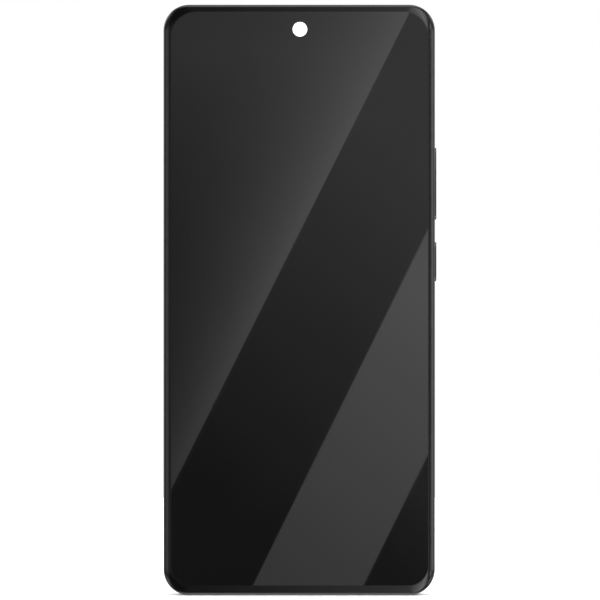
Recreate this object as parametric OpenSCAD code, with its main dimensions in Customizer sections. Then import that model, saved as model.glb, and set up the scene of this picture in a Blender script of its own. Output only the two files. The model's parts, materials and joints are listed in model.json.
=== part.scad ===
// Smartphone with a camera window in its screen, as an assembly of separate pieces.
// Each piece is drawn lying on its back: X across, Y up the phone, Z out of the screen.
// stand() turns it upright: the screen faces -Y, the top edge is at +Z and the keys are on +X.

/* [Body] */
// Width across the side frame, without the keys
body_w = 74.7; // [74.2:0.1:76]
// Height from the bottom edge to the top edge
body_h = 162.5; // [161.5:0.1:165]
// Thickness from the cover glass to the rear cover
body_t = 8.4; // [8.4:0.1:9]
// Radius of the four outer corners
corner_r = 7.1; // [6.9:0.1:7.6]
// Rounding of the side frame's two long edges
frame_round = 1.4; // [1.1:0.1:1.4]

/* [Screen] */
// Thickness of the cover glass
glass_t = 0.65; // [0.6:0.05:0.7]
// Rim of the frame seen beside the glass
side_rim = 1.4; // [1.35:0.05:1.45]
// Rim of the frame seen above and below the glass
end_rim = 0.6; // [0.5:0.05:0.65]
// Diameter of the round camera window in the display
window_d = 4; // [3.9:0.1:4.4]
// Camera window's centre below the top edge
window_drop = 6.9; // [6.8:0.1:7.1]
// Camera window's centre right of the middle
window_x = 0.2; // [0:0.1:0.3]

/* [Keys] */
// Length of the volume key
volume_l = 19.8; // [19:0.1:20.5]
// Height of the volume key's middle above the bottom edge
volume_y = 113.3; // [113:0.1:114]
// Length of the power key
power_l = 10.8; // [10:0.1:11.5]
// Height of the power key's middle above the bottom edge
power_y = 91.8; // [91:0.1:92]
// Thickness of both keys, front to back
key_t = 2; // [1.8:0.1:2.2]
// How far both keys stand out of the side frame
key_proud = 0.5; // [0.35:0.01:0.55]

/* [Ports] */
// Height of the SIM tray's middle above the bottom edge
tray_y = 132; // [131.5:0.1:132.5]
// Length of the SIM tray's outer face
tray_face_l = 17.5; // [17.3:0.1:18]
// Radius of the eject pin hole in the SIM tray's face
pin_hole_r = 0.5; // [0.45:0.01:0.52]
// Number of round speaker holes in the bottom edge
speaker_holes = 6; // [4:1:6]
// Radius of each speaker hole
speaker_hole_r = 0.7; // [0.6:0.05:0.8]

/* [Rear cameras] */
// Width of the camera island
island_w = 25.5; // [25:0.1:26]
// Height of the camera island
island_l = 37.5; // [37:0.1:38]
// How far the camera island and its rings stand out of the rear cover
island_h = 1.8; // [1.6:0.1:2]
// Outer radius of the two large lens rings
ring_r = 6.6; // [6.3:0.1:6.8]

/* [Hidden] */
$fn = 96;

// Levels through the thickness, from the screen to the rear
front_z = (body_t + island_h) / 2;
rear_z = front_z - body_t;
glass_back = front_z - glass_t;
panel_front = glass_back - 0.15;
panel_back = panel_front - 0.55;
foil_back = panel_back - 0.2;
plate_front = foil_back - 0.35;
plate_back = plate_front - 0.6;
frame_front = front_z - 0.35;
frame_back = rear_z + 0.55;
cover_in = rear_z + 0.8;
ledge_z = cover_in + 0.12;
side_z = (frame_front + frame_back) / 2;
board_front = side_z - 0.7;
board_back = side_z - 1.4;
bracket_rear = cover_in + 0.3;
bracket_front = bracket_rear + 0.4;
island_face = rear_z - island_h + 0.3;

// Insets from the body's outline, and the corner radii that go with them
film_t = 0.06;
glass_gap = 0.08;
glass_r = corner_r - 2.1;
panel_inset = 2;
panel_r = corner_r - panel_inset;
panel_cavity_inset = 1.9;
inner_side = 2.35;
inner_end = 2.8;
inner_r = corner_r - inner_side;
cover_inset = 1.35;
cover_r = corner_r - cover_inset;

right = body_w / 2;
left = -right;
inner_x = right - inner_side;
window_y = body_h - window_drop;

// Keys, from the outside in
flange_t = 0.45;
key_pocket_x = right - 1.35;
volume_float = 0.3;
power_float = 0.05;
nub_x = inner_x - 0.02;
dome_x = inner_x - 0.32;

// SIM tray and its eject mechanism
tray_face_t = 1;
tray_face_h = 2.2;
tray_neck_l = 11.6;
tray_t = 0.8;
tray_end_x = -19.5;
rod_y = tray_y - tray_face_l / 2 + tray_face_h / 2;
rod_r = 0.65;
roof_z = side_z + 1;
pivot_x = -18.2;
pivot_y = tray_y - 4.4;
lever_half_w = 0.7;

// Rear camera places, [x, y]
island_at = [20.25, body_h - 24.25];
main_at = [24.5, body_h - 15.5];
wide_at = [24.5, body_h - 33];
macro_at = [12.8, body_h - 24.3];
flash_at = [12.8, body_h - 13];
main_barrel_r = 4.3;
macro_ring_r = 4.2;
window_bore_r = 4.95;
macro_bore_r = 2.9;
seat_step = 0.85;

// Screws that hold the brackets, [x, y]: over a board, or on a long post
board_screws = [
    [-30.5, body_h - 7.3], [30.6, body_h - 6.9], [7, body_h - 7.5],
    [7, 120], [31.5, 119.8], [-22, 119.8], [-19.5, 6], [5.2, 28.5]
];
post_screws = [[-31.5, 32.8], [33, 32.5], [-27, 7.2], [33.2, 9.5]];
screw_r = 0.6;
screw_head_r = 1.1;
screw_end_z = side_z + 0.4;

// Battery, as [x, y] of its lower left corner and its size
battery_at = [-33.8, 38];
battery_size = [66.6, 75];
board_low_y = 116.5;
speaker_x = 8.2;
speaker_w = 22.8;

module stand() {
    rotate([90, 0, 0]) children();
}

// Rectangle with round corners, its lower edge on Y = 0
module rounded_rect(w, l, r) {
    translate([-w / 2 + r, 0]) square([w - 2 * r, l]);
    translate([-w / 2, r]) square([w, l - 2 * r]);
    for (x = [-w / 2 + r, w / 2 - r], y = [r, l - r]) {
        translate([x, y]) circle(r);
    }
}

// Flat layer with the body's outline, inset at the sides, bottom and top
module layer(side, low, high, r, z_low, z_high) {
    translate([0, low, z_low])
        linear_extrude(z_high - z_low)
            rounded_rect(body_w - 2 * side, body_h - low - high, r);
}

// Box between two corners
module block(x0, y0, z0, x1, y1, z1) {
    translate([x0, y0, z0]) cube([x1 - x0, y1 - y0, z1 - z0]);
}

// Box with round corners in plan, centred on [x, y]
module soft_block(at, w, l, r, z_low, z_high) {
    translate([at[0], at[1] - l / 2, z_low])
        linear_extrude(z_high - z_low) rounded_rect(w, l, r);
}

// Disc between two levels
module disc(at, r, z_low, z_high) {
    translate([at[0], at[1], z_low]) cylinder(h = z_high - z_low, r = r);
}

// Flat outline with round ends, w long and h high
module pill(w, h) {
    translate([-w / 2 + h / 2, -h / 2]) square([w - h, h]);
    for (s = [-1, 1]) {
        translate([s * (w - h) / 2, 0]) circle(h / 2);
    }
}

// Bar with a flat outline, running along X from x0 to x1
module along_x(x0, x1, y, z) {
    translate([x0, y, z]) rotate([90, 0, 90]) linear_extrude(x1 - x0) children();
}

// Bar with a flat outline, running along Y from y0 to y1
module along_y(y0, y1, x, z) {
    translate([x, y1, z]) rotate([90, 0, 0]) linear_extrude(y1 - y0) children();
}

// Half section of a slab: its outer edge at r, rounded below and above
module edge_section(r, t, low_round, high_round) {
    difference() {
        square([r, t]);
        if (high_round > 0) {
            translate([r - high_round, t - high_round]) difference() {
                square(high_round + 1);
                circle(high_round);
            }
        }
        if (low_round > 0) {
            translate([r - low_round, low_round]) mirror([0, 1]) difference() {
                square(low_round + 1);
                circle(low_round);
            }
        }
    }
}

// Slab centred on [x, y] with round corners in plan and rounded edges
module soft_slab(at, w, l, r, z_low, z_high, low_round, high_round) {
    t = z_high - z_low;
    translate([at[0], at[1], z_low]) {
        for (i = [0:3]) {
            reach = (i % 2 == 0 ? w : l) / 2 - r;
            run = (i % 2 == 0 ? l : w) / 2 - r;
            rotate([0, 0, 90 * i]) translate([reach, run, 0]) {
                rotate_extrude(angle = 90) edge_section(r, t, low_round, high_round);
                rotate([90, 0, 0])
                    linear_extrude(2 * run) edge_section(r, t, low_round, high_round);
            }
        }
        translate([r - w / 2, r - l / 2, 0]) cube([w - 2 * r, l - 2 * r, t]);
    }
}

// Glass and display

module cover_glass() {
    color("#101114") stand()
        soft_slab([0, body_h / 2], body_w - 2 * (side_rim + glass_gap),
            body_h - 2 * (end_rim + glass_gap), glass_r, glass_back, front_z, 0, 0.5);
}

// Layer of the display stack with the camera window's hole through it
module display_layer(inset, r, z_low, z_high) {
    difference() {
        layer(inset, inset + 0.4, inset + 0.15, r, z_low, z_high);
        disc([window_x, window_y], window_d / 2, z_low - 1, z_high + 1);
    }
}

module display_adhesive() {
    color("#d8dde0") stand()
        display_layer(panel_inset + 0.1, panel_r - 0.1, panel_front, glass_back);
}

module display_panel() {
    color("#0b0b0d") stand() display_layer(panel_inset, panel_r, panel_back, panel_front);
}

module display_foil() {
    color("#8a5a3c") stand()
        display_layer(panel_inset + 0.6, panel_r - 0.6, foil_back, panel_back);
}

// Ribbon behind the display that turns down through the mid plate to the sub board
module display_flex() {
    flex_t = 0.12;
    turn_y = 24;
    color("#b5782a") stand() {
        block(-9, 5, foil_back - flex_t, 9, turn_y, foil_back);
        block(-5, turn_y - flex_t, board_front, 5, turn_y, foil_back - flex_t);
        block(-5, turn_y - 3, board_front, 5, turn_y - flex_t, board_front + flex_t);
    }
}

module display_seal() {
    color("#202020") stand() difference() {
        layer(side_rim + 0.1, end_rim + 0.1, end_rim + 0.1, glass_r - 0.1,
            panel_front, glass_back);
        layer(panel_cavity_inset, panel_cavity_inset, panel_cavity_inset,
            corner_r - panel_cavity_inset, panel_front - 1, glass_back + 1);
    }
}

module front_camera_film() {
    color("white") stand()
        disc([window_x, window_y], window_d / 2, front_z, front_z + film_t);
}

module fingerprint_sensor() {
    color("#2b2f36") stand() {
        soft_block([0, 32], 9.6, 9.6, 1, plate_front - 0.3, foil_back - 0.05);
        disc([0, 32], 3, plate_front - 0.5, plate_front - 0.3);
    }
}

module light_sensor() {
    color("#1d2a33") stand()
        block(12.2, body_h - 8.5, plate_back + 0.15, 15.2, body_h - 5.5, foil_back - 0.05);
}

// Structure

// Slot for one key through the side wall, with a pocket for its flange
module key_slot(y, l) {
    along_x(inner_x - 1, right + 1, y, side_z) pill(l + 0.2, key_t + 0.2);
    along_x(inner_x - 1, key_pocket_x, y, side_z)
        translate([-(l + 2.4) / 2, -1.5]) square([l + 2.4, 3]);
}

// Stepped slot for the SIM tray's face, its seal and its neck, and the eject rod's bore
module tray_slot() {
    along_x(left - 1, left + tray_face_t + 0.05, tray_y, side_z)
        pill(tray_face_l + 0.12, tray_face_h + 0.12);
    along_x(left, left + tray_face_t + 0.5, tray_y, side_z) pill(13.4, 2);
    along_x(left, -inner_x + 1, tray_y, side_z)
        translate([-6, -0.55]) square([12, 1.1]);
    along_x(left, -inner_x + 1, rod_y, side_z) circle(rod_r + 0.05);
}

module side_frame() {
    color("#3b3d42") stand() difference() {
        soft_slab([0, body_h / 2], body_w, body_h, corner_r,
            frame_back, frame_front, frame_round, frame_round);
        layer(side_rim, end_rim, end_rim, glass_r, panel_front, front_z + 1);
        layer(panel_cavity_inset, panel_cavity_inset, panel_cavity_inset,
            corner_r - panel_cavity_inset, plate_back, front_z + 1);
        layer(inner_side, inner_end, inner_end, inner_r, rear_z - 1, front_z);
        layer(cover_inset - 0.05, cover_inset - 0.05, cover_inset - 0.05, cover_r + 0.05,
            rear_z - 1, ledge_z);
        key_slot(volume_y, volume_l);
        key_slot(power_y, power_l);
        tray_slot();
        along_y(-1, inner_end + 1, 0, side_z) pill(9, 3.22);
        along_y(-1, inner_end + 1, -9.5, side_z) circle(0.45);
        for (i = [0:speaker_holes - 1]) {
            along_y(-1, inner_end + 1, 13.5 + 2.4 * i, side_z) circle(speaker_hole_r);
        }
        along_y(body_h - inner_end - 1, body_h + 1, -12.5, side_z) pill(7, 0.9);
        along_y(body_h - inner_end - 1, body_h + 1, 22, side_z) circle(0.4);
    }
}

// Metal plate behind the display, with posts that take the bracket screws
module mid_plate() {
    plate_inset = panel_cavity_inset + 0.03;
    color("#6f7276") stand() difference() {
        union() {
            layer(plate_inset, plate_inset, plate_inset, corner_r - plate_inset,
                plate_back, plate_front);
            for (at = board_screws) disc(at, 1.5, board_front, plate_back);
            for (at = post_screws) disc(at, 1.5, bracket_front, plate_back);
        }
        for (at = concat(board_screws, post_screws)) {
            disc(at, screw_r + 0.02, rear_z, screw_end_z + 0.3);
        }
        disc([window_x, window_y], 2.4, plate_back - 1, plate_front + 1);
        soft_block([0, 32], 10, 10, 1.2, plate_back - 1, plate_front + 1);
        block(-6, 22.8, plate_back - 1, 6, 25.2, plate_front + 1);
        block(12, body_h - 8.7, plate_back - 1, 15.4, body_h - 5.3, plate_front + 1);
    }
}

// Thin bracket over a board, with holes for its screws
module bracket(at, w, l, screws) {
    difference() {
        soft_block(at, w, l, 3.6, bracket_rear, bracket_front);
        for (s = screws) disc(s, 0.9, rear_z, front_z);
    }
}

module upper_bracket() {
    color("#26282b") stand() difference() {
        bracket([0, (board_low_y + body_h - 3.4) / 2], 66.8, body_h - 3.4 - board_low_y,
            board_screws);
        soft_block(island_at, 22.8, 33.8, 4, rear_z, front_z);
    }
}

module lower_bracket() {
    color("#26282b") stand()
        bracket([0, 19], 68.6, 31, concat(board_screws, post_screws));
}

module bracket_screws() {
    color("#c9ccd0") stand() for (at = concat(board_screws, post_screws)) {
        difference() {
            disc(at, screw_head_r, bracket_rear - 0.25, bracket_rear);
            for (a = [0, 90]) {
                translate([at[0], at[1], bracket_rear - 0.25]) rotate([0, 0, a])
                    cube([1.3, 0.25, 0.25], center = true);
            }
        }
        disc(at, screw_r, bracket_rear, screw_end_z);
    }
}

// Keys

// Key drawn from its flange out to its cap, with nubs that meet the switches
module key(y, l, float, nubs) {
    flange_x = key_pocket_x - float - flange_t;
    along_x(flange_x + flange_t, right + key_proud, y, side_z) pill(l, key_t);
    along_x(flange_x, flange_x + flange_t, y, side_z)
        translate([-(l + 1.8) / 2, -1.35]) square([l + 1.8, 2.7]);
    for (nub = nubs) along_x(nub_x, flange_x, y + nub, side_z) circle(0.8);
}

module volume_key() {
    color("#303237") stand() key(volume_y, volume_l, volume_float, [-6.5, 6.5]);
}

module power_key() {
    color("#303237") stand() key(power_y, power_l, power_float, [0]);
}

// Ribbon along the wall with one click dome under each nub, and a tail to the main board
module key_flex() {
    flex_x = dome_x - 0.25;
    color("#b5782a") stand() {
        block(flex_x - 0.15, 85, side_z - 1.4, flex_x, 125, side_z + 1.4);
        for (y = [power_y, volume_y - 6.5, volume_y + 6.5]) {
            along_x(flex_x, dome_x - 0.1, y, side_z) circle(1.1);
            along_x(dome_x - 0.1, dome_x, y, side_z) circle(0.6);
        }
        block(31, 122, board_back - 0.12, flex_x - 0.15, 125, board_back);
    }
}

// Steel strip that backs the switches, hooked to the wall at both ends
module key_bracket() {
    back_x = dome_x - 0.4;
    color("#b9bcc0") stand() difference() {
        union() {
            block(back_x - 0.3, 84, side_z - 1.5, back_x, 126, side_z + 1.5);
            block(back_x - 0.3, 83, side_z - 1.5, inner_x - 0.02, 84, side_z + 1.5);
            block(back_x - 0.3, 126, side_z - 1.5, inner_x - 0.02, 127, side_z + 1.5);
        }
        block(back_x - 1, 121.7, rear_z, back_x + 1, 125.3, board_back + 0.2);
    }
}

// SIM tray and eject mechanism

module sim_tray() {
    neck_x = left + tray_face_t;
    color("#34363b") stand() difference() {
        union() {
            along_x(left, neck_x, tray_y, side_z) pill(tray_face_l, tray_face_h);
            block(neck_x, tray_y - tray_neck_l / 2, side_z - tray_t / 2,
                tray_end_x, tray_y + tray_neck_l / 2, side_z + tray_t / 2);
        }
        along_x(left - 1, neck_x + 1, rod_y, side_z) circle(pin_hole_r);
        block(-34.2, tray_y - 4.45, side_z - 0.3, -21.8, tray_y + 4.45, side_z + 1);
        block(-33.4, tray_y - 3.6, side_z - 1, -22.6, tray_y + 3.6, side_z);
    }
}

module sim_tray_seal() {
    neck_x = left + tray_face_t;
    color("#8c2f26") stand() along_x(neck_x, neck_x + 0.4, tray_y, side_z) difference() {
        pill(13.2, 1.8);
        square([tray_neck_l + 0.02, tray_t + 0.02], center = true);
    }
}

// Folded metal roof over the tray, with six contacts under it, on the main board
module sim_reader() {
    color("#c3c6ca") stand() {
        difference() {
            block(-33.5, tray_y - 9.2, board_front, -16.6, tray_y + 6.8, roof_z);
            block(-40, tray_y - 9, board_front - 1, -16.8, tray_y + 6.6, roof_z - 0.2);
        }
        for (i = [0:2], s = [-1, 1]) {
            block(-31 + 2.6 * i, tray_y + 2 * s - 0.6, board_front,
                -29.6 + 2.6 * i, tray_y + 2 * s + 0.6, board_front + 0.2);
        }
    }
}

module eject_rod() {
    tip_x = pivot_x - lever_half_w - 0.05;
    color("#d0d2d6") stand() {
        along_x(left + tray_face_t + 0.3, tip_x - rod_r, rod_y, side_z) circle(rod_r);
        translate([tip_x - rod_r, rod_y, side_z]) sphere(rod_r);
    }
}

module eject_lever() {
    arm = 2.9;
    reach = pivot_y - rod_y;
    color("#d0d2d6") stand() translate([pivot_x, pivot_y, side_z - 0.2]) difference() {
        union() {
            translate([-lever_half_w, -reach, 0]) cube([2 * lever_half_w, reach + arm, 0.4]);
            translate([0, -reach, 0]) cylinder(h = 0.4, r = lever_half_w);
            translate([0, arm, 0]) cylinder(h = 0.4, r = lever_half_w);
        }
        translate([0, 0, -1]) cylinder(h = 3, r = 0.4);
    }
}

module eject_pivot() {
    color("#9fa2a6") stand() {
        disc([pivot_x, pivot_y], 0.36, board_front, side_z + 0.4);
        disc([pivot_x, pivot_y], 0.65, side_z + 0.4, side_z + 0.55);
        disc([pivot_x, pivot_y], 0.8, board_front, side_z - 0.25);
    }
}

// Electronics

module main_board() {
    color("#1f5a3c") stand() difference() {
        soft_block([0, (board_low_y + body_h - 3.5) / 2], 66.8, body_h - 3.5 - board_low_y,
            3.5, board_back, board_front);
        soft_block(main_at, 12.6, 12.6, 0.5, board_back - 1, board_front + 1);
        soft_block(wide_at, 10.6, 10.6, 0.5, board_back - 1, board_front + 1);
        soft_block(macro_at, 7, 7, 0.5, board_back - 1, board_front + 1);
        block(-19.2, body_h - 10.9, board_back - 1, 4.2, body_h, board_front + 1);
        for (at = board_screws) disc(at, 0.9, board_back - 1, board_front + 1);
    }
}

// Processor, storage and power chips on the front, radio chips on the rear
module board_chips() {
    color("#17181a") stand() {
        block(-12, 130, board_front, 2, 144, board_front + 1.1);
        block(-12, 124.2, board_front, -1, 129.4, board_front + 0.9);
        block(1, 124.6, board_front, 6.5, 129.4, board_front + 0.7);
        block(3.2, 131, board_front, 7, 143.5, board_front + 0.8);
        for (x = [-29, -19.5, -10]) {
            block(x, 127, board_back - 0.8, x + 7.5, 136, board_back);
            block(x, 138.5, board_back - 0.8, x + 7.5, 146, board_back);
        }
    }
}

// Pressed metal lids over the chips, open towards the board

module front_shield() {
    color("#c3c6ca") stand() difference() {
        block(-13.6, 123, board_front, 8, 149, board_front + 1.6);
        block(-13.4, 123.2, board_front - 1, 7.8, 148.8, board_front + 1.4);
    }
}

module rear_shield() {
    color("#c3c6ca") stand() difference() {
        block(-32, 125, board_back - 1.2, 7, 149, board_back);
        block(-31.8, 125.2, board_back - 1, 6.8, 148.8, board_back + 1);
    }
}

module sub_board() {
    color("#1f5a3c") stand() difference() {
        block(-22, 3.4, board_back, 7.4, 31, board_front);
        block(-4.7, 3, board_back - 1, 4.7, 8.2, board_front + 1);
        for (at = board_screws) disc(at, 0.9, board_back - 1, board_front + 1);
    }
}

// Ribbon behind the battery that joins the two boards
module main_flex() {
    flex_t = 0.1;
    low_y = 35.5;
    high_y = 114.8;
    rear = bracket_rear - flex_t - 0.02;
    color("#b5782a") stand() {
        block(-20, low_y, rear, -12, high_y, rear + flex_t);
        block(-20, low_y, rear + flex_t, -12, low_y + flex_t, board_back);
        block(-20, 27, board_back - flex_t, -12, low_y, board_back);
        block(-20, high_y - flex_t, rear + flex_t, -12, high_y, board_back);
        block(-20, high_y, board_back - flex_t, -12, 122, board_back);
    }
}

// Thin coaxial cable clipped along the left wall, with a plug on each board
module antenna_cable() {
    cable_r = 0.3;
    bend_r = 1.5;
    cable_x = -inner_x + 0.6;
    cable_z = board_front + cable_r;
    low_y = 31;
    high_y = 118;
    color("#5c5f63") stand() {
        translate([cable_x, high_y, cable_z]) rotate([90, 0, 0])
            cylinder(h = high_y - low_y, r = cable_r);
        translate([cable_x + bend_r, low_y, cable_z]) rotate([0, 0, 180])
            rotate_extrude(angle = 90) translate([bend_r, 0]) circle(cable_r);
        translate([cable_x + bend_r, high_y, cable_z]) rotate([0, 0, 90])
            rotate_extrude(angle = 90) translate([bend_r, 0]) circle(cable_r);
        along_x(cable_x + bend_r, -20, low_y - bend_r, cable_z) circle(cable_r);
        along_x(cable_x + bend_r, -31, high_y + bend_r, cable_z) circle(cable_r);
        disc([-19.6, low_y - bend_r], 1, board_front, board_front + 0.8);
        disc([-30.6, high_y + bend_r], 1, board_front, board_front + 0.8);
    }
}

module battery() {
    color("#2c2d30") stand() {
        soft_block([battery_at[0] + battery_size[0] / 2, battery_at[1] + battery_size[1] / 2],
            battery_size[0], battery_size[1], 1.5, bracket_rear, plate_back - 0.15);
        block(-8, battery_at[1] + battery_size[1], board_back - 0.12, -1, 121.5, board_back);
    }
}

module battery_adhesive() {
    color("#e8e8e4") stand() for (x = [-24, 8]) {
        block(x, 46, plate_back - 0.15, x + 16, 106, plate_back);
    }
}

// Antenna coil of three nested loops behind the upper bracket
module nfc_coil() {
    color("#b87333") stand() for (i = [0:2]) difference() {
        soft_block([-12, 138], 36 - 3 * i, 30 - 3 * i, 3.5 - i / 2,
            bracket_rear - 0.1, bracket_rear);
        soft_block([-12, 138], 34.4 - 3 * i, 28.4 - 3 * i, 2.7 - i / 2,
            bracket_rear - 1, bracket_rear + 1);
    }
}

// Charging port

module usb_shell() {
    color("#b9bcc0") stand() difference() {
        along_y(0.15, 7.6, 0, side_z) pill(8.94, 3.16);
        along_y(0, 7.3, 0, side_z) pill(8.34, 2.56);
    }
}

module usb_tongue() {
    color("#1a1b1d") stand() {
        along_y(1.2, 6.4, 0, side_z) square([6.69, 0.7], center = true);
        along_y(6.4, 7.3, 0, side_z) pill(8.3, 2.52);
    }
}

// Sound

module loudspeaker() {
    x0 = speaker_x;
    x1 = speaker_x + speaker_w;
    color("#1d1e21") stand() difference() {
        block(x0, 3.6, side_z - 2.6, x1, 30, side_z + 1.4);
        soft_block([19.6, 17], 18, 13, 3, side_z - 0.1, side_z + 2);
        block(13, 3, side_z + 0.1, 26.2, 11, side_z + 1);
    }
}

module loudspeaker_diaphragm() {
    color("#4a4c50") stand() {
        soft_block([19.6, 17], 17.4, 12.4, 2.7, side_z + 0.5, side_z + 0.8);
        difference() {
            disc([19.6, 17], 3.4, side_z + 0.2, side_z + 0.5);
            disc([19.6, 17], 3, side_z, side_z + 0.5);
        }
    }
}

module speaker_mesh() {
    color("#2a2b2e") stand() difference() {
        along_y(inner_end + 0.05, inner_end + 0.2, 19.5, side_z) pill(16, 2.4);
        for (i = [0:19]) {
            along_y(inner_end - 1, inner_end + 1, 12.75 + 0.71 * i, side_z) circle(0.2);
        }
    }
}

module earpiece_speaker() {
    color("#1d1e21") stand() difference() {
        block(-18.5, body_h - 10, side_z - 1.6, -6.5, body_h - 3.6, side_z + 1.3);
        soft_block([-12.5, body_h - 6.8], 10, 4.8, 1.2, side_z + 0.2, side_z + 2);
        block(-15.5, body_h - 6, side_z + 0.3, -9.5, body_h - 3, side_z + 0.7);
    }
}

module earpiece_diaphragm() {
    color("#4a4c50") stand()
        soft_block([-12.5, body_h - 6.8], 9.6, 4.4, 1, side_z + 0.6, side_z + 0.85);
}

module earpiece_mesh() {
    mesh_y = body_h - inner_end - 0.2;
    color("#2a2b2e") stand() difference() {
        along_y(mesh_y, mesh_y + 0.15, -12.5, side_z) pill(8, 1.8);
        for (i = [0:9]) {
            along_y(mesh_y - 1, mesh_y + 1, -15.65 + 0.7 * i, side_z) circle(0.2);
        }
    }
}

// Small boxed microphone on a board, its port towards the edge
module microphone(x, y0, y1) {
    difference() {
        block(x - 1.7, y0, board_front, x + 1.7, y1, board_front + 1);
        disc([x, (y0 + y1) / 2], 0.3, board_front + 0.7, board_front + 2);
    }
}

module bottom_microphone() {
    color("#c9b067") stand() microphone(-9.5, 3.6, 6.4);
}

module top_microphone() {
    color("#c9b067") stand() microphone(22, body_h - 7, body_h - 4.2);
}

// Casing of the vibration motor, with room for its mass to slide across
module vibration_motor() {
    color("#b9bcc0") stand() difference() {
        block(-33.6, 12, side_z - 2.4, -23, 28, side_z + 1.2);
        block(-33.2, 12.4, side_z - 2, -23.4, 27.6, side_z + 0.8);
    }
}

module vibration_mass() {
    color("#77797d") stand()
        soft_block([-28.3, 20], 7.8, 14, 1, side_z - 1.9, side_z + 0.7);
}

// Cameras

module front_camera() {
    at = [window_x, window_y];
    color("#1a1b1d") stand() {
        soft_block(at, 6.6, 6.4, 0.6, side_z - 1.2, plate_back - 0.3);
        disc(at, 1.8, plate_back - 0.3, panel_front - 0.15);
    }
}

module front_camera_lens() {
    color("#283a55") stand()
        disc([window_x, window_y], 1.3, panel_front - 0.15, panel_front - 0.02);
}

module rear_cover() {
    color("#17181b") stand() difference() {
        soft_slab([0, body_h / 2], body_w - 2 * cover_inset, body_h - 2 * cover_inset,
            cover_r, rear_z, cover_in, 0.55, 0);
        soft_block(island_at, 22.7, 33.7, 4, rear_z - 1, cover_in + 1);
    }
}

module rear_cover_adhesive() {
    color("#202020") stand() difference() {
        layer(cover_inset, cover_inset, cover_inset, cover_r, cover_in, ledge_z);
        layer(inner_side, inner_end, inner_end, inner_r, cover_in - 1, ledge_z + 1);
    }
}

// Raised island that carries the rear lenses, its neck reaching through the rear cover
module camera_island() {
    color("#26282c") stand() difference() {
        union() {
            soft_slab(island_at, island_w, island_l, 6, island_face, rear_z, 0.6, 0);
            soft_block(island_at, 22.5, 33.5, 3.9, rear_z, cover_in + 0.05);
        }
        for (at = [main_at, wide_at]) {
            disc(at, window_bore_r, island_face - 1, cover_in + 1);
            disc(at, window_bore_r + seat_step, island_face - 1, island_face + 0.6);
        }
        disc(macro_at, macro_bore_r, island_face - 1, cover_in + 1);
        disc(macro_at, macro_bore_r + 0.6, island_face - 1, island_face + 0.6);
        disc(flash_at, 2.05, island_face - 1, cover_in + 1);
    }
}

// One lens ring: a flange on the island and a sleeve down to its seat
module lens_ring(at, flange_r, sleeve_r, window_r) {
    difference() {
        union() {
            disc(at, flange_r, island_face - 0.3, island_face);
            disc(at, sleeve_r, island_face, island_face + 0.6);
        }
        disc(at, window_r, island_face - 1, island_face + 1);
    }
}

module lens_rings() {
    color("#8d9096") stand() {
        for (at = [main_at, wide_at]) {
            lens_ring(at, ring_r, window_bore_r + seat_step - 0.02, window_bore_r + 0.25);
        }
        lens_ring(macro_at, macro_ring_r, macro_bore_r + 0.58, macro_bore_r + 0.1);
    }
}

module lens_windows() {
    color("#1c2430") stand() {
        for (at = [main_at, wide_at]) {
            disc(at, window_bore_r + 0.23, island_face - 0.15, island_face + 0.55);
        }
        disc(macro_at, macro_bore_r + 0.08, island_face - 0.15, island_face + 0.55);
    }
}

module main_camera() {
    color("#2a2b2e") stand() difference() {
        soft_block(main_at, 12, 12, 0.8, side_z - 2.6, side_z + 1.2);
        disc(main_at, main_barrel_r + 0.2, side_z - 4, side_z - 0.2);
    }
}

module main_camera_barrel() {
    color("#17181a") stand() difference() {
        disc(main_at, main_barrel_r, island_face + 1.2, side_z - 0.4);
        disc(main_at, 3, island_face, island_face + 1.6);
    }
}

module main_camera_lens() {
    dome_r = 11.6;
    color("#24364f") stand() intersection() {
        translate([main_at[0], main_at[1], island_face + 1.22 + dome_r])
            sphere(dome_r, $fn = 360);
        disc(main_at, 3.2, island_face, island_face + 1.6);
    }
}

// Fixed camera: square housing and round barrel
module fixed_camera(at, size, barrel_r) {
    soft_block(at, size, size, 0.6, side_z - 2.6, side_z + 1.2);
    disc(at, barrel_r, island_face + 1.2, side_z - 2.6);
}

module wide_camera() {
    color("#2a2b2e") stand() fixed_camera(wide_at, 10, 3.8);
}

module macro_camera() {
    color("#2a2b2e") stand() fixed_camera(macro_at, 6.4, 2.3);
}

module flash() {
    color("#e9e2b8") stand() {
        soft_block(flash_at, 4.2, 4.2, 0.3, board_back - 1, board_back);
        disc(flash_at, 1.95, island_face + 0.05, board_back - 1);
    }
}

cover_glass();
display_adhesive();
display_panel();
display_foil();
display_flex();
display_seal();
front_camera_film();
fingerprint_sensor();
light_sensor();
side_frame();
mid_plate();
volume_key();
power_key();
key_flex();
key_bracket();
sim_tray();
sim_tray_seal();
sim_reader();
eject_rod();
eject_lever();
eject_pivot();
main_board();
board_chips();
front_shield();
rear_shield();
front_camera();
front_camera_lens();
earpiece_speaker();
earpiece_diaphragm();
earpiece_mesh();
top_microphone();
battery();
battery_adhesive();
main_flex();
antenna_cable();
sub_board();
usb_shell();
usb_tongue();
bottom_microphone();
loudspeaker();
loudspeaker_diaphragm();
speaker_mesh();
vibration_motor();
vibration_mass();
upper_bracket();
lower_bracket();
nfc_coil();
bracket_screws();
rear_cover();
rear_cover_adhesive();
camera_island();
lens_rings();
lens_windows();
main_camera();
main_camera_barrel();
main_camera_lens();
wide_camera();
macro_camera();
flash();
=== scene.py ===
import json
import math

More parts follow.
